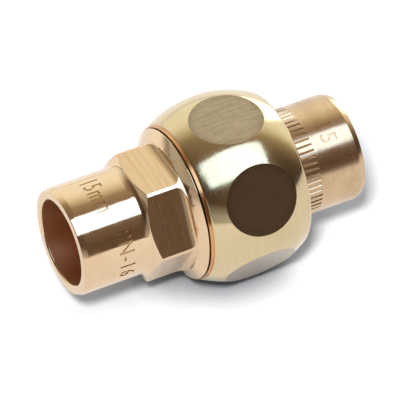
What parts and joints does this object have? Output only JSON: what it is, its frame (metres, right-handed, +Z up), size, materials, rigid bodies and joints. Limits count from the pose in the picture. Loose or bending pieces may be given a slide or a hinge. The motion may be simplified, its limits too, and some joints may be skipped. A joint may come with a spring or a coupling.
{
  "type": "pipe union",
  "caption": "Straight pipe union with solder sockets; a barrel nut with round wrench flats draws a flat-sealed tail onto a threaded body.",
  "frame": {"origin": "on the pipe axis at half the union's length, tightened", "axes": "+X along the pipe from the union body to the tail; +Z up, normal to one of the nut's flats; the opposite flat faces down"},
  "size_m": [0.053, 0.0324, 0.03],
  "materials": {
    "gunmetal": "fine turned, slightly satin red-brass",
    "brass": "bright turned brass with brushed flats",
    "seal_fibre": "matt pressed-fibre sealing ring"
  },
  "bodies": {
    "body": {"union_body": "gunmetal"},
    "seal": {"gasket": "seal_fibre"},
    "nut": {"union_nut": "brass"},
    "tail": {"union_tail": "gunmetal"}
  },
  "joints": [
    {"name": "draw_off", "type": "slide", "parent": "body", "child": "seal", "axis": [1, 0, 0], "range_m": [0, 0.0091]},
    {"name": "nut_turn", "type": "hinge", "parent": "seal", "child": "nut", "pos_m": [0.00443, 0, 0], "axis": [1, 0, 0], "range_deg": [0, 1800]},
    {"name": "tail_swivel", "type": "hinge", "parent": "seal", "child": "tail", "pos_m": [0.0165, 0, 0], "axis": [1, 0, 0], "continuous": true}
  ],
  "couplings": [
    {"joint": "draw_off", "follows": "nut_turn", "m_per_rad": 0.00028871}
  ]
}
